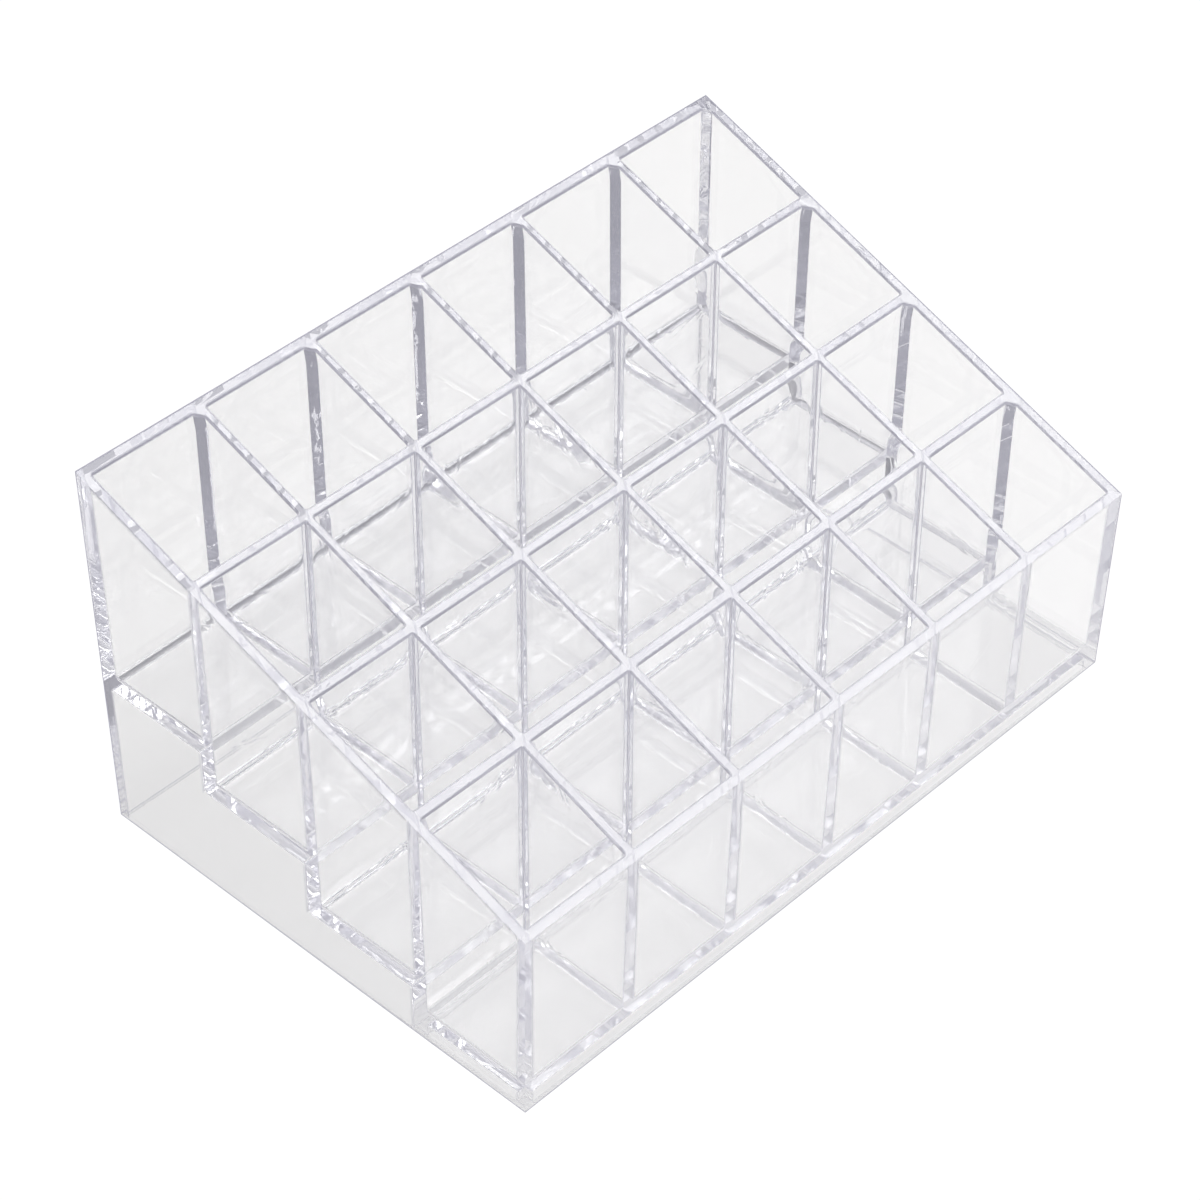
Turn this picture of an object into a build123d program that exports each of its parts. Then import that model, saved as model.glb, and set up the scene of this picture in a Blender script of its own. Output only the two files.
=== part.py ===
from build123d import *
import os

# Stepped nail polish rack of clear plastic: six columns by four rows of square pockets.
# X runs across the width, +Y points to the tall back, Z is up.
# The origin is on the table, under the middle of the rack.

# ---- driving dimensions, millimetres ----
WIDTH = 145.0
DEPTH = 96.4
HEIGHT_BACK = 74.3
HEIGHT_FRONT = 38.6
OUTER_DRAFT = 0.8  # how far each outer face leans in from its rim to the table

COLUMNS = 6
ROWS = 4

WALL_RIM = 1.8  # outer walls at their rim
WALL_FOOT = 2.4  # outer walls at table height
SKIRT = 1.3  # side and back walls where only the hollow under the floors is behind them
DIVIDER_RIM = 1.6  # dividers at the height of the back rim
DIVIDER_FOOT = 2.2  # dividers at table height
RISER_BACK = 1.5  # from a divider's mid-plane to the back face of the riser under it

BACK_ROW_DEPTH = 25.0  # outer back face to the middle of the first row divider
ROW_PITCH = 23.55
COLUMN_PITCH = (WIDTH - WALL_RIM) / COLUMNS

FLOOR_TOPS = (31.2, 22.5, 11.6, 4.5)  # back row first
FLOOR_THICK = 2.1
EDGE_ROUND = 0.25  # rounding of the outer upright corners

SPARE = 10.0  # how far cutting blocks reach past what they cut

BACK = DEPTH / 2
FRONT = -DEPTH / 2
LEFT = -WIDTH / 2
RIGHT = WIDTH / 2
DIVIDER_YS = [BACK - BACK_ROW_DEPTH - ROW_PITCH * k for k in range(ROWS - 1)]
DIVIDER_XS = [LEFT + WALL_RIM / 2 + COLUMN_PITCH * (i + 1) for i in range(COLUMNS - 1)]


def rim_height(y):
    """Height of the rim at depth y: one straight slope from the front to the back."""
    return HEIGHT_FRONT + (HEIGHT_BACK - HEIGHT_FRONT) * (y - FRONT) / DEPTH


def side_prism(points, x0, x1):
    """A solid whose outline is given in Y and Z, from x0 to x1."""
    outline = Plane.YZ * make_face(Polyline(*points, close=True))
    return Pos(x0, 0, 0) * extrude(outline, x1 - x0, dir=(1, 0, 0))


def front_prism(points, y0, y1):
    """A solid whose outline is given in X and Z, from y0 to y1."""
    corners = [Vector(x, y0, z) for x, z in points]
    outline = make_face(Polyline(*corners, close=True))
    return extrude(outline, y1 - y0, dir=(0, 1, 0))


def block(x0, x1, y0, y1, z0, z1):
    """A plain block between two corners."""
    return Pos((x0 + x1) / 2, (y0 + y1) / 2, (z0 + z1) / 2) * Box(x1 - x0, y1 - y0, z1 - z0)


def envelope():
    """The outer shape: a sloping rim on top, and four faces that lean in towards the table."""
    from_side = [
        (FRONT + OUTER_DRAFT, 0),
        (BACK - OUTER_DRAFT, 0),
        (BACK, HEIGHT_BACK),
        (FRONT, HEIGHT_FRONT),
    ]
    from_front = [
        (LEFT + OUTER_DRAFT, 0),
        (RIGHT - OUTER_DRAFT, 0),
        (RIGHT, HEIGHT_BACK),
        (LEFT, HEIGHT_BACK),
    ]
    return side_prism(from_side, LEFT, RIGHT) & front_prism(from_front, FRONT, BACK)


def wedge_across_x(x, rim, foot):
    """An upright plate on x that thickens from rim to foot, as deep as the rack and more."""
    outline = [
        (x - foot / 2, 0),
        (x + foot / 2, 0),
        (x + rim / 2, HEIGHT_BACK),
        (x - rim / 2, HEIGHT_BACK),
    ]
    return front_prism(outline, FRONT - SPARE, BACK + SPARE)


def wedge_across_y(y, rim, foot):
    """An upright plate on y that thickens from rim to foot, as wide as the rack and more."""
    outline = [
        (y - foot / 2, 0),
        (y + foot / 2, 0),
        (y + rim / 2, HEIGHT_BACK),
        (y - rim / 2, HEIGHT_BACK),
    ]
    return side_prism(outline, LEFT - SPARE, RIGHT + SPARE)


def between_sides():
    """The space between the side walls, which narrows towards the table with the draft."""
    foot = OUTER_DRAFT + WALL_FOOT
    outline = [
        (LEFT + foot, 0),
        (RIGHT - foot, 0),
        (RIGHT - WALL_RIM, HEIGHT_BACK),
        (LEFT + WALL_RIM, HEIGHT_BACK),
    ]
    return front_prism(outline, FRONT - SPARE, BACK + SPARE)


def between_ends():
    """The space between the front and back walls, which narrows in the same way."""
    foot = OUTER_DRAFT + WALL_FOOT
    lean = (foot - WALL_RIM) / HEIGHT_FRONT
    outline = [
        (FRONT + foot, 0),
        (BACK - foot, 0),
        (BACK - WALL_RIM, HEIGHT_BACK),
        (FRONT + foot - lean * HEIGHT_BACK, HEIGHT_BACK),
    ]
    return side_prism(outline, LEFT - SPARE, RIGHT + SPARE)


def row_span(row):
    """Front and back limits, in Y, of the floor of a row: divider mid-planes or past a wall."""
    back = BACK + SPARE if row == 0 else DIVIDER_YS[row - 1]
    front = FRONT - SPARE if row == ROWS - 1 else DIVIDER_YS[row]
    return front, back


def above_floors():
    """The space over the four stepped floors, for the column dividers to stand in."""
    space = None
    for row in range(ROWS):
        front, back = row_span(row)
        part = block(LEFT, RIGHT, front, back, FLOOR_TOPS[row], HEIGHT_BACK + SPARE)
        space = part if space is None else space + part
    return space


def lap_height(row):
    """Where a row divider and the column dividers change places in their cross-lap."""
    return (rim_height(DIVIDER_YS[row]) + FLOOR_TOPS[0]) / 2


def row_divider(row):
    """A row divider and the riser under it in one plate, slotted from the top."""
    last = row == ROWS - 2
    foot = 0.0 if last else FLOOR_TOPS[row + 1] - FLOOR_THICK
    middle = DIVIDER_YS[row]
    plate = ROW_WEDGES[row] & ENVELOPE & block(LEFT, RIGHT, FRONT, BACK, foot, HEIGHT_BACK)
    under = FLOOR_TOPS[row] - FLOOR_THICK
    riser = block(LEFT, RIGHT, middle, middle + RISER_BACK, foot, under)
    plate = (plate + riser) & INSIDE
    slots = block(LEFT, RIGHT, FRONT, BACK, lap_height(row), HEIGHT_BACK + SPARE)
    for wedge in COLUMN_WEDGES:
        plate = plate - (wedge & slots)
    return plate


def column_divider(column):
    """A column divider whose lower edge steps down with the floors, slotted from below."""
    plate = COLUMN_WEDGES[column] & INSIDE & ENVELOPE & ABOVE_FLOORS
    for row, wedge in enumerate(ROW_WEDGES):
        slot = block(LEFT, RIGHT, FRONT, BACK, -SPARE, lap_height(row))
        plate = plate - (wedge & slot)
    return plate


def floor(row):
    """The floor of a row, from the back wall or divider to the next divider or front wall."""
    front, back = row_span(row)
    top = FLOOR_TOPS[row]
    slab = block(LEFT, RIGHT, front, back, top - FLOOR_THICK, top) & INSIDE
    for wedge in ROW_WEDGES:
        slab = slab - wedge
    return slab


def hollow():
    """The hollow under the three upper floors, inside thin skirts that lean in with the walls."""
    skirt_foot = OUTER_DRAFT + SKIRT
    under = FLOOR_TOPS[0] - FLOOR_THICK
    side_lean = OUTER_DRAFT * under / HEIGHT_BACK
    outline = [(BACK - skirt_foot, 0), (BACK - skirt_foot + side_lean, under)]
    for row in range(ROWS - 1):
        under = FLOOR_TOPS[row] - FLOOR_THICK
        if row > 0:
            outline.append((outline[-1][0], under))
        outline.append((DIVIDER_YS[row] + RISER_BACK, under))
    outline.append((DIVIDER_YS[-1] + RISER_BACK, 0))
    from_front = [
        (LEFT + skirt_foot, 0),
        (RIGHT - skirt_foot, 0),
        (RIGHT - SKIRT, HEIGHT_BACK),
        (LEFT + SKIRT, HEIGHT_BACK),
    ]
    return side_prism(outline, LEFT, RIGHT) & front_prism(from_front, FRONT, BACK)


def side_wall(sign):
    """A side wall, thinner where only the hollow is behind it."""
    half = block(min(sign * WIDTH, 0), max(sign * WIDTH, 0), FRONT, BACK, 0, HEIGHT_BACK)
    slab = (ENVELOPE & half) - BETWEEN_SIDES - HOLLOW
    uprights = [e for e in slab.edges() if is_outer_upright(e, sign)]
    return fillet(uprights, EDGE_ROUND)


def is_outer_upright(edge, sign):
    """True for the two upright edges on the outer face of a side wall."""
    box = edge.bounding_box()
    middle = edge.center()
    outside = sign * middle.X > WIDTH / 2 - OUTER_DRAFT
    at_end = abs(middle.Y) > DEPTH / 2 - OUTER_DRAFT
    return outside and at_end and box.size.Z > HEIGHT_FRONT / 2 and box.size.Y < WALL_RIM


def end_wall(sign):
    """The back wall, or the front wall, between the side walls."""
    half = block(LEFT, RIGHT, min(sign * DEPTH, 0), max(sign * DEPTH, 0), 0, HEIGHT_BACK)
    return (ENVELOPE & half & BETWEEN_SIDES) - between_ends() - HOLLOW


ENVELOPE = envelope()
BETWEEN_SIDES = between_sides()
INSIDE = BETWEEN_SIDES & between_ends()
HOLLOW = hollow()
ROW_WEDGES = [wedge_across_y(y, DIVIDER_RIM, DIVIDER_FOOT) for y in DIVIDER_YS]
COLUMN_WEDGES = [wedge_across_x(x, DIVIDER_RIM, DIVIDER_FOOT) for x in DIVIDER_XS]
ABOVE_FLOORS = above_floors()

pieces = {
    "left_side": side_wall(-1),
    "right_side": side_wall(1),
    "back_panel": end_wall(1),
    "front_panel": end_wall(-1),
}
for index in range(ROWS - 1):
    pieces[f"row_divider_{index + 1}"] = row_divider(index)
for index in range(COLUMNS - 1):
    pieces[f"column_divider_{index + 1}"] = column_divider(index)
for index in range(ROWS):
    pieces[f"floor_{index + 1}"] = floor(index)

os.makedirs("parts", exist_ok=True)
for name, piece in pieces.items():
    solids = piece.solids()
    box = piece.bounding_box()
    print(name, len(solids), round(piece.volume, 1), [round(v, 2) for v in (*box.min, *box.max)])
    export_step(piece if len(solids) > 1 else solids[0], f"parts/{name}.step")
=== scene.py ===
import math

import bmesh
import bpy
from mathutils import Matrix, Vector


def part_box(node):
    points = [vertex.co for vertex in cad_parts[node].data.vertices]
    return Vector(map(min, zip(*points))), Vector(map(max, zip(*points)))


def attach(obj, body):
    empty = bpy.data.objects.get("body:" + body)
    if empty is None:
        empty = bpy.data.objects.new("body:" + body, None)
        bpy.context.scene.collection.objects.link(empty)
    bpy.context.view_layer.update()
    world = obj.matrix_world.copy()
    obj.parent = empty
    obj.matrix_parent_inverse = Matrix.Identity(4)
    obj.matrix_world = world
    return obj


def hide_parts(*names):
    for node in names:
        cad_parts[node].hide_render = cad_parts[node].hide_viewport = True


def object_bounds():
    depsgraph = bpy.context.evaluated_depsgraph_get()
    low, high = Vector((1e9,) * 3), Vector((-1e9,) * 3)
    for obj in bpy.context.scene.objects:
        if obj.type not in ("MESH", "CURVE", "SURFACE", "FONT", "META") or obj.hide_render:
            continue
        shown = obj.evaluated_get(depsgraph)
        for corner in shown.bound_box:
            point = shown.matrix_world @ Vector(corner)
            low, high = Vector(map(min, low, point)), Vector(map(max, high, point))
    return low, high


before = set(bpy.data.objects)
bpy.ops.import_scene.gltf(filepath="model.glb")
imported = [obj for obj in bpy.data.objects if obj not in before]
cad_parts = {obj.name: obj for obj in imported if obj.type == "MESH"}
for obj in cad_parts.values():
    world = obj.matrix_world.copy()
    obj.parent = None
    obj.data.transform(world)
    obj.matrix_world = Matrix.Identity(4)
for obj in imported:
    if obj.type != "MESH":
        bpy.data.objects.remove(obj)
cad_lo, cad_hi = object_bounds()

# ---- dimensions in millimetres, read from the CAD where it shows them ----
MM = 0.001
ROWS, COLUMNS = 4, 6


def box_mm(node):
    lo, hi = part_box(node)
    return lo / MM, hi / MM


LO, HI = cad_lo / MM, cad_hi / MM
HEIGHT_BACK = HI.z
HEIGHT_FRONT = 38.6
OUTER_DRAFT = 0.8
WALL_RIM, WALL_FOOT = 2.2, 2.4
DIVIDER_RIM, DIVIDER_FOOT = 1.6, 2.2
SKIRT = 1.2
RISER_BACK = 1.5
FLOORS = [box_mm(f"floor_{r + 1}")[1].z for r in range(ROWS)]
UNDERS = [box_mm(f"floor_{r + 1}")[0].z for r in range(ROWS)]
YS = [HI.y - 25.0 - 23.55 * r for r in range(ROWS - 1)]
XS = [sum(v.x for v in box_mm(f"column_divider_{c + 1}")) / 2 for c in range(COLUMNS - 1)]

# Inside the pockets, the outer walls thin out by LEAD_IN over the last LEAD_DEPTH below the rim.
LEAD_IN, LEAD_DEPTH = 0.42, 2.8
RIM_ROUND = 0.45  # rounding of the rim's inner edges
EDGE_STRIP = 0.26  # along the sharp outer edges
CORNER = 0.35  # rounding of the upright corners of the pockets
WIDE_CORNER = 1.35  # flat bevel instead, in the far right corners that meet the right or the back wall
FLOOR_FILLET = 1.5
HOLLOW_ROUND = 0.5
RECESS_ROUND = 0.3
# How much painted shade darkens the roundings of the rims, the foot and the outer edges.
RIM_SHADE, FOOT_SHADE, OUTER_EDGE_SHADE = 0.28, 0.5, 0.8
GAP = 0.005  # between pieces, so that no two faces share a place
STEP = 0.02  # a small offset that keeps rings and cutting faces apart
PAD = WIDE_CORNER + STEP  # how far the spaces reach past a face, to take in its corners
ARC = 5  # steps in a quarter turn
RIM_ARC = 4  # the same, on the rims


def lerp(a, b, t):
    return a + (b - a) * t


def rim_z(y):
    return HEIGHT_FRONT + (HEIGHT_BACK - HEIGHT_FRONT) * (y - LO.y) / (HI.y - LO.y)


def side_in(z):
    """Half the width between the side walls' inner faces."""
    return lerp(HI.x - OUTER_DRAFT - WALL_FOOT, HI.x - WALL_RIM, z / HEIGHT_BACK)


def back_in(z):
    return lerp(HI.y - OUTER_DRAFT - WALL_FOOT, HI.y - WALL_RIM, z / HEIGHT_BACK)


def front_in(z):
    return lerp(LO.y + OUTER_DRAFT + WALL_FOOT, LO.y + WALL_RIM, z / HEIGHT_FRONT)


def half_divider(z):
    return lerp(DIVIDER_FOOT, DIVIDER_RIM, z / HEIGHT_BACK) / 2


def column_faces(c, z):
    """Left and right faces, in X, of the pockets of column c."""
    left = -side_in(z) if c == 0 else XS[c - 1] + half_divider(z)
    right = side_in(z) if c == COLUMNS - 1 else XS[c] - half_divider(z)
    return left, right


def row_faces(r, z):
    """Front and back faces, in Y, of the pockets of row r."""
    front = front_in(z) if r == ROWS - 1 else YS[r] + half_divider(z)
    back = back_in(z) if r == 0 else YS[r - 1] - half_divider(z)
    return front, back


def solid(name, verts, faces):
    """A closed mesh object in millimetres, with its faces turned outwards."""
    mesh = bpy.data.meshes.new(name)
    mesh.from_pydata([tuple(v) for v in verts], [], faces)
    bm = bmesh.new()
    bm.from_mesh(mesh)
    bmesh.ops.recalc_face_normals(bm, faces=bm.faces)
    bm.to_mesh(mesh)
    bm.free()
    ob = bpy.data.objects.new(name, mesh)
    bpy.context.scene.collection.objects.link(ob)
    return ob


def prism_x(name, outline, x0, x1):
    """A prism with its outline in Y and Z. x0 and x1 give its ends at a height."""
    n = len(outline)
    verts = [(x0(z), y, z) for y, z in outline] + [(x1(z), y, z) for y, z in outline]
    faces = [tuple(range(n)), tuple(range(n, 2 * n))]
    faces += [(i, (i + 1) % n, n + (i + 1) % n, n + i) for i in range(n)]
    return solid(name, verts, faces)


def prism_y(name, outline, y0, y1):
    """A prism with its outline in X and Z. y0 and y1 give its ends at a height."""
    n = len(outline)
    verts = [(x, y0(z), z) for x, z in outline] + [(x, y1(z), z) for x, z in outline]
    faces = [tuple(range(n)), tuple(range(n, 2 * n))]
    faces += [(i, (i + 1) % n, n + (i + 1) % n, n + i) for i in range(n)]
    return solid(name, verts, faces)


def round_edges(ob, radius, segments, profile=0.5):
    """Rounds the edges, or with a profile of 1 keeps them sharp between two narrow flat strips."""
    bm = bmesh.new()
    bm.from_mesh(ob.data)
    edges = [e for e in bm.edges if e.calc_face_angle(0.0) > 0.5]
    bmesh.ops.bevel(
        bm, geom=edges, offset=radius, segments=segments, profile=profile, affect="EDGES", clamp_overlap=True
    )
    bm.to_mesh(ob.data)
    bm.free()


def join(obs):
    """The first object, holding the meshes of all of them."""
    bm = bmesh.new()
    for ob in obs:
        bm.from_mesh(ob.data)
    bm.to_mesh(obs[0].data)
    bm.free()
    for ob in obs[1:]:
        drop(ob)
    return obs[0]


def drop(ob):
    mesh = ob.data
    bpy.data.objects.remove(ob)
    bpy.data.meshes.remove(mesh)


def combined(ob, other, operation, name):
    """A new object: ob cut or kept by other."""
    out = bpy.data.objects.new(name, ob.data.copy())
    bpy.context.scene.collection.objects.link(out)
    mod = out.modifiers.new("cut", "BOOLEAN")
    mod.operation, mod.object, mod.solver = operation, other, "MANIFOLD"
    done = bpy.data.meshes.new_from_object(out.evaluated_get(bpy.context.evaluated_depsgraph_get()))
    out.modifiers.clear()
    old = out.data
    out.data = done
    bpy.data.meshes.remove(old)
    return out


# ---- the whole rack as one shape, before it is divided into its pieces ----
def outer_block():
    outline = [
        (LO.y + OUTER_DRAFT, 0.0),
        (HI.y - OUTER_DRAFT, 0.0),
        (HI.y, HEIGHT_BACK),
        (LO.y, HEIGHT_FRONT),
    ]
    half = lambda z: HI.x - OUTER_DRAFT * (1 - z / HEIGHT_BACK)
    ob = prism_x("block", outline, lambda z: -half(z), half)
    round_edges(ob, EDGE_STRIP, 2, profile=1.0)
    return ob


def pocket_ring(c, r, height, spread, lead=0.0):
    """One ring of a pocket's wall. height gives Z at a depth Y; spread is how far the ring stands out past
    the faces, or in if negative; lead is how far it stands out further towards the outer walls."""
    inset = max(0.0, -spread)
    points = []

    def place(sx, sy, angle):
        wide = sx > 0 and sy > 0 and (r == 0 or c == COLUMNS - 1)
        offset = max(WIDE_CORNER if wide else CORNER, inset + STEP)
        radius = offset + spread
        if wide:
            radius /= math.cos(angle) + math.sin(angle)
        y = 0.5 * sum(row_faces(r, 40.0))
        for _ in range(4):
            z = height(y)
            front, back = row_faces(r, z)
            front -= lead if r == ROWS - 1 else 0.0
            back += lead if r == 0 else 0.0
            centre = back - offset if sy > 0 else front + offset
            y = centre + radius * math.sin(angle)
        z = height(y)
        left, right = column_faces(c, z)
        left -= lead if c == 0 else 0.0
        right += lead if c == COLUMNS - 1 else 0.0
        centre = right - offset if sx > 0 else left + offset
        points.append((centre + radius * math.cos(angle), y, z))

    for sx, sy, start in ((1, 1, 0.0), (-1, 1, 0.5), (-1, -1, 1.0), (1, -1, 1.5)):
        for i in range(ARC + 1):
            place(sx, sy, math.pi * (start + 0.5 * i / ARC))
    return points


def pocket(c, r):
    floor = FLOORS[r]
    rings = [pocket_ring(c, r, lambda y: HEIGHT_BACK + 3, RIM_ROUND, LEAD_IN)]
    rings.append(pocket_ring(c, r, lambda y: rim_z(y) + 0.002, RIM_ROUND, LEAD_IN))
    for i in range(1, RIM_ARC + 1):
        a = math.pi / 2 * i / RIM_ARC
        depth = RIM_ROUND * (1 - math.cos(a))
        lead = LEAD_IN * (1 - depth / LEAD_DEPTH)
        rings.append(pocket_ring(c, r, lambda y, d=depth: rim_z(y) - d, RIM_ROUND * (1 - math.sin(a)), lead))
    rings.append(pocket_ring(c, r, lambda y: rim_z(y) - LEAD_DEPTH, 0.0))
    for i in range(ARC + 1):
        a = math.pi / 2 * i / ARC
        z = floor + FLOOR_FILLET * (1 - math.sin(a))
        rings.append(pocket_ring(c, r, lambda y, z=z: z, -FLOOR_FILLET * (1 - math.cos(a))))
    n = len(rings[0])
    verts = [p for ring in rings for p in ring]
    faces = [tuple(range(n)), tuple(range(len(verts) - n, len(verts)))]
    for k in range(len(rings) - 1):
        a, b = k * n, (k + 1) * n
        faces += [(a + i, a + (i + 1) % n, b + (i + 1) % n, b + i) for i in range(n)]
    return solid("pocket", verts, faces)


def hollow():
    skirt = lambda z: SKIRT + OUTER_DRAFT * (1 - z / HEIGHT_BACK)
    outline = [(HI.y - skirt(0) - 0.01, -3.0), (HI.y - skirt(UNDERS[0]), UNDERS[0])]
    for r in range(ROWS - 1):
        if r > 0:
            outline.append((outline[-1][0], UNDERS[r]))
        outline.append((YS[r] + RISER_BACK, UNDERS[r]))
    outline.append((YS[-1] + RISER_BACK, -3.0))
    half = lambda z: HI.x - skirt(z)
    ob = prism_x("hollow", outline, lambda z: -half(z), half)
    round_edges(ob, HOLLOW_ROUND, 3)
    return ob


def front_recess():
    y0, y1 = front_in(0), YS[-1] - half_divider(0)
    top = UNDERS[-1]
    outline = [(y0, -3.0), (y1, -3.0), (y1, top), (y0, top)]
    half = side_in(0)
    ob = prism_x("recess", outline, lambda z: -half, lambda z: half)
    round_edges(ob, RECESS_ROUND, 3)
    return ob


def whole_rack():
    block = outer_block()
    cutters = [pocket(c, r) for c in range(COLUMNS) for r in range(ROWS)]
    cutter = join(cutters + [hollow(), front_recess()])
    rack = combined(block, cutter, "DIFFERENCE", "rack")
    drop(block)
    drop(cutter)
    return rack


# ---- the space that each piece takes out of that shape ----
TOP, LOW, FAR = HEIGHT_BACK + 5.0, -5.0, 90.0


def side_space(sign):
    """A side wall, with the rounded corners that stand against it inside the pockets."""
    outer = lambda z: sign * FAR
    inner = lambda z: sign * (side_in(z) - GAP)
    whole = [(-FAR, LOW), (FAR, LOW), (FAR, TOP), (-FAR, TOP)]
    parts = [prism_x("space", whole, outer, inner)]
    for r in range(ROWS):
        low = FLOORS[r] + FLOOR_FILLET + 0.06
        faces_low, faces_top = row_faces(r, low), row_faces(r, TOP)
        outline = [
            (faces_low[0] + 2 * GAP, low),
            (faces_low[1] - 2 * GAP, low),
            (faces_top[1] - 2 * GAP, TOP),
            (faces_top[0] + 2 * GAP, TOP),
        ]
        near = lambda z: sign * (side_in(z) - 2 * GAP)
        far = lambda z: sign * (side_in(z) - PAD)
        parts.append(prism_x("space", outline, near, far))
    return join(parts)


def end_space(sign):
    face = (lambda z: back_in(z) - GAP) if sign > 0 else (lambda z: front_in(z) + GAP)
    outline = between_sides(LOW, TOP)
    return prism_y("space", outline, face, lambda z: sign * FAR)


def between_sides(low, high):
    a, b = side_in(low) - 2 * GAP, side_in(high) - 2 * GAP
    return [(-a, low), (a, low), (b, high), (-b, high)]


def lap(r):
    return (rim_z(YS[r]) + FLOORS[0]) / 2


def row_space(r):
    """A row divider, slotted from its top edge, and the riser under it."""
    slot = lambda z: half_divider(z) + PAD + GAP
    low, mid = UNDERS[r], lap(r) - GAP
    a, b = side_in(low) - 2 * GAP, side_in(TOP) - 2 * GAP
    outline = [(-a, low), (a, low), (b, TOP)]
    for x in reversed(XS):
        outline += [(x + slot(TOP), TOP), (x + slot(mid), mid)]
        outline += [(x - slot(mid), mid), (x - slot(TOP), TOP)]
    outline.append((-b, TOP))
    front = lambda z: YS[r] - half_divider(z) - GAP
    plate = prism_y("space", outline, front, lambda z: YS[r] + half_divider(z) + GAP)
    foot = LOW if r == ROWS - 2 else UNDERS[r + 1] - 1.0
    riser = prism_y("space", between_sides(foot, low - GAP), front, lambda z: YS[r] + RISER_BACK + 0.3)
    return join([plate, riser])


def column_space(c):
    """A column divider, stepped with the floors and slotted from below at each row divider."""
    outline = [(front_in(TOP) + 2 * GAP, TOP)]
    floor = FLOORS[-1] - STEP
    outline.append((front_in(floor) + 2 * GAP, floor))
    for r in range(ROWS - 2, -1, -1):
        mid = lap(r) + GAP
        for sign, level in ((-1, floor), (-1, mid), (1, mid), (1, FLOORS[r] - STEP)):
            outline.append((YS[r] + sign * (half_divider(level) + 2 * GAP), level))
        floor = FLOORS[r] - STEP
    outline.append((back_in(floor) - 2 * GAP, floor))
    outline.append((back_in(TOP) - 2 * GAP, TOP))
    wide = lambda z: half_divider(z) + PAD
    return prism_x("space", outline, lambda z: XS[c] - wide(z), lambda z: XS[c] + wide(z))


def floor_space(r):
    """A floor with the fillets that rise from it, notched under the column dividers."""
    slot = lambda z: half_divider(z) + PAD + GAP
    low = LOW if r == ROWS - 1 else UNDERS[r] - GAP / 2
    high, notch = FLOORS[r] + FLOOR_FILLET + 0.05, FLOORS[r] - STEP - GAP
    a, b = side_in(low) - 2 * GAP, side_in(high) - 2 * GAP
    outline = [(-a, low), (a, low), (b, high)]
    for x in reversed(XS):
        outline += [(x + slot(high), high), (x + slot(notch), notch)]
        outline += [(x - slot(notch), notch), (x - slot(high), high)]
    outline.append((-b, high))
    front = lambda z: row_faces(r, z)[0] + 2 * GAP
    return prism_y("space", outline, front, lambda z: row_faces(r, z)[1] - 2 * GAP)


# ---- looks of the clear plastic ----
PAINTED_GLOW = (0.60, 0.595, 0.69)  # colour of the painted glow that stands in for light scattered by the haze
HAZE = 13.0  # per metre
EDGE_SHADE_COLOR = (0.40, 0.395, 0.47)  # colour of the painted shade on the outlines
ROUGH = 0.0
DEEPEST = 26  # bounces after which the plastic shows only a painted glow in the haze colour
FLOW = 0.004  # height of the flow marks
SHADOW = 0.975  # how much of the light for the table each face lets through


def flow_marks(nt):
    """The faint curled lines that the flow of the plastic leaves."""
    new, link = nt.nodes.new, nt.links.new
    coord = new("ShaderNodeTexCoord")
    noise = new("ShaderNodeTexNoise")
    noise.inputs["Scale"].default_value = 22.0
    noise.inputs["Detail"].default_value = 1.5
    noise.inputs["Distortion"].default_value = 1.8
    link(coord.outputs["Object"], noise.inputs["Vector"])
    line = new("ShaderNodeValToRGB")
    link(noise.outputs["Fac"], line.inputs["Fac"])
    stops = line.color_ramp.elements
    stops[0].position, stops[0].color = 0.485, (0, 0, 0, 1)
    stops[1].position, stops[1].color = 0.515, (0, 0, 0, 1)
    stops.new(0.5).color = (1, 1, 1, 1)
    bump = new("ShaderNodeBump")
    bump.inputs["Strength"].default_value = 1.0
    bump.inputs["Distance"].default_value = FLOW * MM
    link(line.outputs["Color"], bump.inputs["Height"])
    return bump


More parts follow.
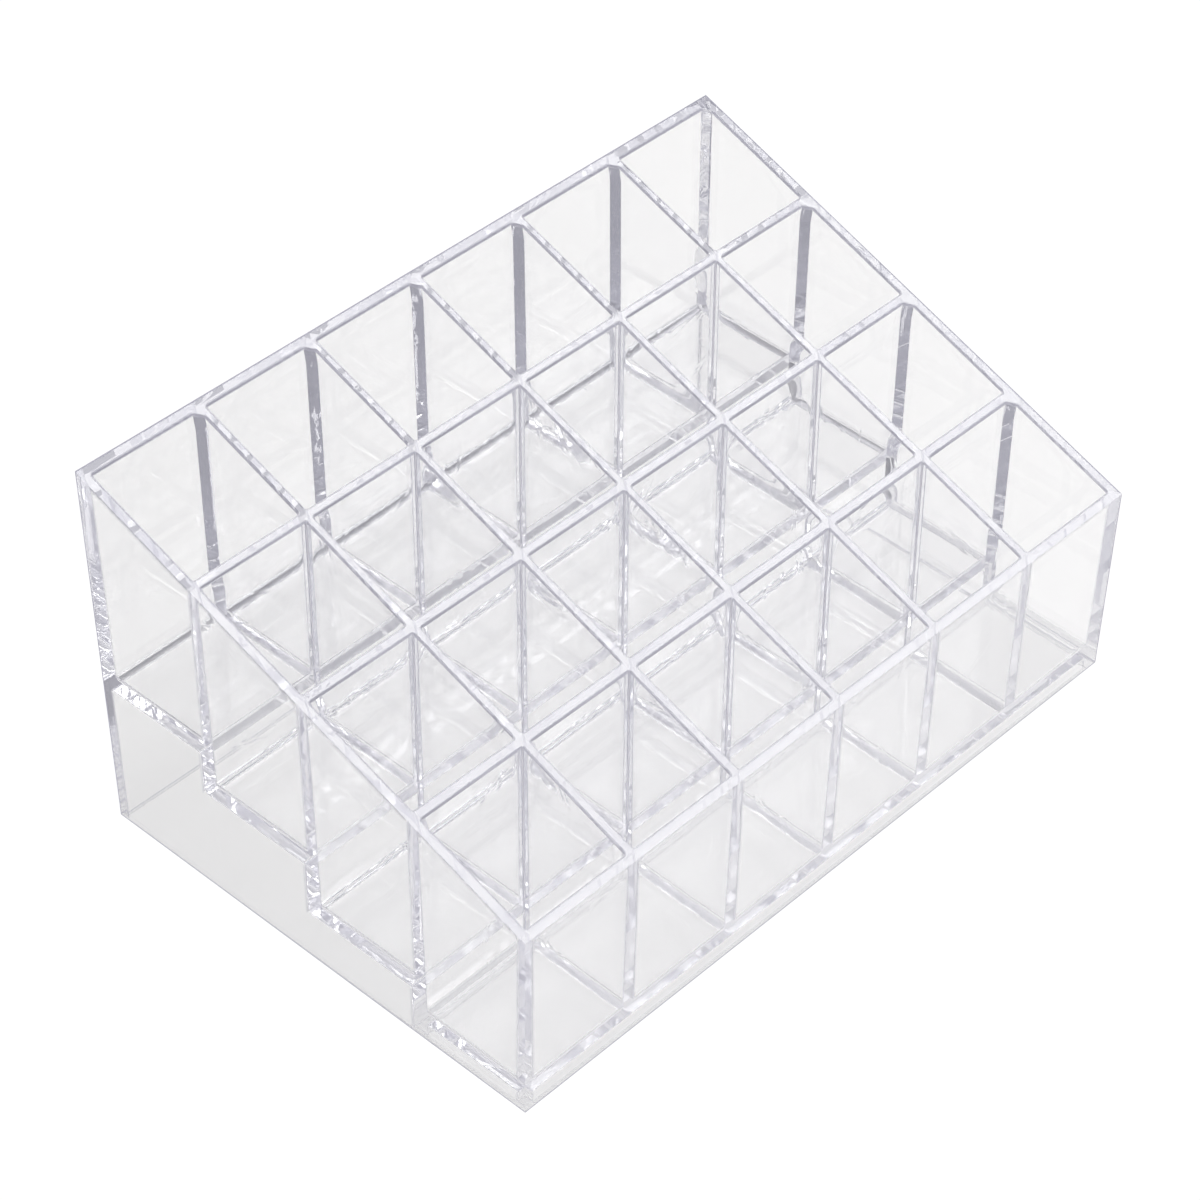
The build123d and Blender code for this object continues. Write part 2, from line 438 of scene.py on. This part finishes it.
def clear_plastic():
    """Clear plastic. Where a face is cemented to the next piece, light goes straight through it."""
    mat = bpy.data.materials.new("clear_plastic")
    mat.use_nodes = True
    nt = mat.node_tree
    nt.nodes.clear()
    new, link = nt.nodes.new, nt.links.new

    glass = new("ShaderNodeBsdfPrincipled")
    glass.inputs["Base Color"].default_value = (1, 1, 1, 1)
    glass.inputs["Roughness"].default_value = ROUGH
    glass.inputs["IOR"].default_value = 1.58
    glass.inputs["Transmission Weight"].default_value = 1.0

    link(flow_marks(nt).outputs["Normal"], glass.inputs["Normal"])

    path = new("ShaderNodeLightPath")
    # A long way inside, the plastic shows a painted glow in the haze colour in place of the light that deeper
    # paths would bring.
    glow = new("ShaderNodeEmission")
    glow.inputs["Color"].default_value = (*PAINTED_GLOW, 1)
    deep = new("ShaderNodeMath")
    deep.operation = "GREATER_THAN"
    link(path.outputs["Ray Depth"], deep.inputs[0])
    deep.inputs[1].default_value = DEEPEST
    seen = new("ShaderNodeMixShader")
    link(deep.outputs[0], seen.inputs["Fac"])
    link(glass.outputs[0], seen.inputs[1])
    link(glow.outputs[0], seen.inputs[2])

    # Painted shade: the very edges and the small roundings look darker, as the outlines of clear plastic do,
    # drawn with a fixed dark colour.
    edge_shade = new("ShaderNodeAttribute")
    edge_shade.attribute_name = "edge_shade"
    line = new("ShaderNodeEmission")
    line.inputs["Color"].default_value = (*EDGE_SHADE_COLOR, 1)
    edge_shaded = new("ShaderNodeMixShader")
    link(edge_shade.outputs["Fac"], edge_shaded.inputs["Fac"])
    link(seen.outputs[0], edge_shaded.inputs[1])
    link(line.outputs[0], edge_shaded.inputs[2])

    # Light on its way to the table goes straight through, a little weaker at each face.
    clear = new("ShaderNodeBsdfTransparent")
    clear.inputs["Color"].default_value = (SHADOW, SHADOW, SHADOW, 1)
    either = new("ShaderNodeMath")
    either.operation = "MAXIMUM"
    link(path.outputs["Is Shadow Ray"], either.inputs[0])
    link(path.outputs["Is Diffuse Ray"], either.inputs[1])
    lit = new("ShaderNodeMixShader")
    link(either.outputs[0], lit.inputs["Fac"])
    link(edge_shaded.outputs[0], lit.inputs[1])
    link(clear.outputs[0], lit.inputs[2])

    straight = new("ShaderNodeBsdfTransparent")
    joint = new("ShaderNodeAttribute")
    joint.attribute_name = "joint"
    pick = new("ShaderNodeMixShader")
    link(joint.outputs["Fac"], pick.inputs["Fac"])
    link(lit.outputs[0], pick.inputs[1])
    link(straight.outputs[0], pick.inputs[2])

    # The haze absorbs light. In its place it gives off a painted glow in the haze colour, which stands in for
    # the light it scatters inside the plastic.
    absorb = new("ShaderNodeVolumeAbsorption")
    absorb.inputs["Color"].default_value = (0, 0, 0, 1)
    absorb.inputs["Density"].default_value = HAZE
    haze_glow = new("ShaderNodeEmission")
    haze_glow.inputs["Color"].default_value = (*PAINTED_GLOW, 1)
    haze_glow.inputs["Strength"].default_value = HAZE
    inside = new("ShaderNodeAddShader")
    link(absorb.outputs[0], inside.inputs[0])
    link(haze_glow.outputs[0], inside.inputs[1])

    out = new("ShaderNodeOutputMaterial")
    link(pick.outputs[0], out.inputs["Surface"])
    link(inside.outputs[0], out.inputs["Volume"])
    return mat


# The places of the outer faces in outer_planes.
FOOT_PLANE, TOP_PLANE, LEFT_PLANE, RIGHT_PLANE, BACK_PLANE, FRONT_PLANE = range(6)


def outer_planes():
    """A point and the outward normal of each outer face of the rack."""
    lean = OUTER_DRAFT / HEIGHT_BACK
    slope = (HEIGHT_BACK - HEIGHT_FRONT) / (HI.y - LO.y)
    planes = [(Vector((0, 0, 0)), Vector((0, 0, -1))), (Vector((0, HI.y, HEIGHT_BACK)), Vector((0, -slope, 1)))]
    for sign in (-1, 1):
        planes.append((Vector((sign * HI.x, 0, HEIGHT_BACK)), Vector((sign, 0, -lean))))
    planes.append((Vector((0, HI.y, HEIGHT_BACK)), Vector((0, 1, -lean))))
    planes.append((Vector((0, LO.y, HEIGHT_FRONT)), Vector((0, -1, -OUTER_DRAFT / HEIGHT_FRONT))))
    return [(at, n.normalized()) for at, n in planes]


def edge_shade_amount(face, planes):
    """How much painted shade darkens a face: 0 except on the foot, the small roundings and most outer edges.
    The outer edges nearest the camera and the upright one farthest from it stay clear."""
    gaps = [abs((face.center - at).dot(n)) for at, n in planes]
    nearest = sorted(range(len(planes)), key=lambda i: gaps[i])[:2]
    if gaps[nearest[1]] < EDGE_STRIP:
        near = set(nearest) <= {TOP_PLANE, LEFT_PLANE, FRONT_PLANE}
        far = set(nearest) == {RIGHT_PLANE, BACK_PLANE}
        return 0.0 if near or far else OUTER_EDGE_SHADE
    if gaps[FOOT_PLANE] < 0.01:
        return FOOT_SHADE
    n = face.normal
    if gaps[TOP_PLANE] < RIM_ROUND + 0.01 and 0.1 < n.dot(planes[TOP_PLANE][1]) < 0.97:
        return RIM_SHADE
    upright_rounding = abs(n.z) < 0.2 and min(abs(n.x), abs(n.y)) > 0.15
    wide_bevel = max(n.x, n.y) < -0.6
    return RIM_SHADE if upright_rounding and not wide_bevel else 0.0


SAME_WAY, SAME_PLACE = 0.99995, 0.0015  # when a face lies on a face of the space that cut it


def finish_piece(ob, space, mat):
    """Marks the joint faces and the faces with painted edge shade, scales to metres and shades the roundings
    smooth.
    """
    planes = [(space.data.vertices[p.vertices[0]].co.copy(), p.normal.copy()) for p in space.data.polygons]
    mesh = ob.data
    marks = []
    for p in mesh.polygons:
        marks.append(
            float(
                any(
                    abs(p.normal.dot(n)) > SAME_WAY and abs((p.center - at).dot(n)) < SAME_PLACE
                    for at, n in planes
                )
            )
        )
    outer = outer_planes()
    edges = [edge_shade_amount(p, outer) for p in mesh.polygons]
    for name in ("joint", "edge_shade", "custom_normal"):
        if name in mesh.attributes:
            mesh.attributes.remove(mesh.attributes[name])
    layer = mesh.attributes.new("joint", "FLOAT", "FACE")
    layer.data.foreach_set("value", marks)
    layer = mesh.attributes.new("edge_shade", "FLOAT", "FACE")
    layer.data.foreach_set("value", edges)
    mesh.transform(Matrix.Scale(MM, 4))
    mesh.materials.clear()
    mesh.materials.append(mat)
    mesh.polygons.foreach_set("use_smooth", [True] * len(mesh.polygons))
    mesh.set_sharp_from_angle(angle=math.radians(32))
    weigh = ob.modifiers.new("even normals", "WEIGHTED_NORMAL")
    weigh.mode, weigh.weight, weigh.keep_sharp = "FACE_AREA", 100, True


def build():
    mat = clear_plastic()
    spaces = {
        "left_side": side_space(-1),
        "right_side": side_space(1),
        "back_panel": end_space(1),
        "front_panel": end_space(-1),
    }
    for r in range(ROWS - 1):
        spaces[f"row_divider_{r + 1}"] = row_space(r)
    for c in range(COLUMNS - 1):
        spaces[f"column_divider_{c + 1}"] = column_space(c)
    for r in range(ROWS):
        spaces[f"floor_{r + 1}"] = floor_space(r)
    rack = whole_rack()
    for node, space in spaces.items():
        ob = combined(rack, space, "INTERSECT", "visual_" + node)
        ob.data.name = ob.name
        finish_piece(ob, space, mat)
        drop(space)
        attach(ob, "root")
        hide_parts(node)
    drop(rack)


build()


# ---- floor, light and camera ----
PAPER = (0.905, 0.90, 0.886)
OVERHEAD = 0.45
SKY = 0.80
LAMP = 13.5


def brighter_when_bare(nt, shader, output):
    """Joins shader to output, but pure white where the camera looks at it directly."""
    white = nt.nodes.new("ShaderNodeEmission") if output.bl_idname == "ShaderNodeOutputMaterial" else None
    white = white or nt.nodes.new("ShaderNodeBackground")
    white.inputs["Color"].default_value = (1, 1, 1, 1)
    white.inputs["Strength"].default_value = 1.05
    path = nt.nodes.new("ShaderNodeLightPath")
    mix = nt.nodes.new("ShaderNodeMixShader")
    nt.links.new(path.outputs["Is Camera Ray"], mix.inputs["Fac"])
    nt.links.new(shader.outputs[0], mix.inputs[1])
    nt.links.new(white.outputs[0], mix.inputs[2])
    nt.links.new(mix.outputs[0], output.inputs["Surface"])


def add_floor():
    half = 3.0
    mesh = bpy.data.meshes.new("floor")
    corners = [(-half, -half, 0), (half, -half, 0), (half, half, 0), (-half, half, 0)]
    mesh.from_pydata(corners, [], [(0, 1, 2, 3)])
    ob = bpy.data.objects.new("floor", mesh)
    bpy.context.scene.collection.objects.link(ob)
    mat = bpy.data.materials.new("floor")
    mat.use_nodes = True
    nt = mat.node_tree
    paper = nt.nodes["Principled BSDF"]
    paper.inputs["Base Color"].default_value = (*PAPER, 1)
    paper.inputs["Roughness"].default_value = 0.9
    brighter_when_bare(nt, paper, nt.nodes["Material Output"])
    mesh.materials.append(mat)


def add_world():
    """A white studio: bright around, a little darker overhead."""
    world = bpy.data.worlds.new("studio")
    bpy.context.scene.world = world
    world.use_nodes = True
    nt = world.node_tree
    new, link = nt.nodes.new, nt.links.new
    coord = new("ShaderNodeTexCoord")
    split = new("ShaderNodeSeparateXYZ")
    link(coord.outputs["Generated"], split.inputs[0])
    ramp = new("ShaderNodeValToRGB")
    link(split.outputs["Z"], ramp.inputs["Fac"])
    stops = ramp.color_ramp.elements
    stops[0].position, stops[0].color = 0.05, (1.0, 1.0, 1.0, 1)
    stops[1].position, stops[1].color = 0.6, (OVERHEAD, OVERHEAD, OVERHEAD * 1.04, 1)
    back = nt.nodes["Background"]
    back.inputs["Strength"].default_value = SKY
    link(ramp.outputs["Color"], back.inputs["Color"])
    brighter_when_bare(nt, back, nt.nodes["World Output"])


def add_lamp():
    """One large soft light, high on the right and to the front."""
    data = bpy.data.lights.new("soft box", "AREA")
    data.shape, data.size, data.energy = "DISK", 1.2, LAMP
    ob = bpy.data.objects.new("soft box", data)
    ob.location = (0.5, -0.35, 1.1)
    ob.rotation_euler = ob.location.to_track_quat("Z", "Y").to_euler()
    bpy.context.scene.collection.objects.link(ob)


def add_camera():
    right = Vector((0.68782, -0.725863, 0.005171))
    down = Vector((-0.476123, -0.456524, -0.751594))
    ahead = Vector((0.547915, 0.514499, -0.659606))
    data = bpy.data.cameras.new("camera")
    data.sensor_width = 36.0
    data.lens = 110.545
    data.clip_start, data.clip_end = 0.01, 20.0
    ob = bpy.data.objects.new("camera", data)
    bpy.context.scene.collection.objects.link(ob)
    turn = Matrix((right, -down, -ahead)).transposed()
    ob.matrix_world = Matrix.Translation(Vector((-338.0, -312.56, 435.17)) * MM) @ turn.to_4x4()
    bpy.context.scene.camera = ob


add_floor()
add_world()
add_lamp()
add_camera()

scene = bpy.context.scene
scene.view_settings.view_transform = "Standard"
scene.view_settings.look = "None"
scene.cycles.max_bounces = 32
scene.cycles.transmission_bounces = 32
scene.cycles.glossy_bounces = 16
scene.cycles.transparent_max_bounces = 96
scene.cycles.diffuse_bounces = 3
scene.cycles.caustics_reflective = False
scene.cycles.caustics_refractive = False
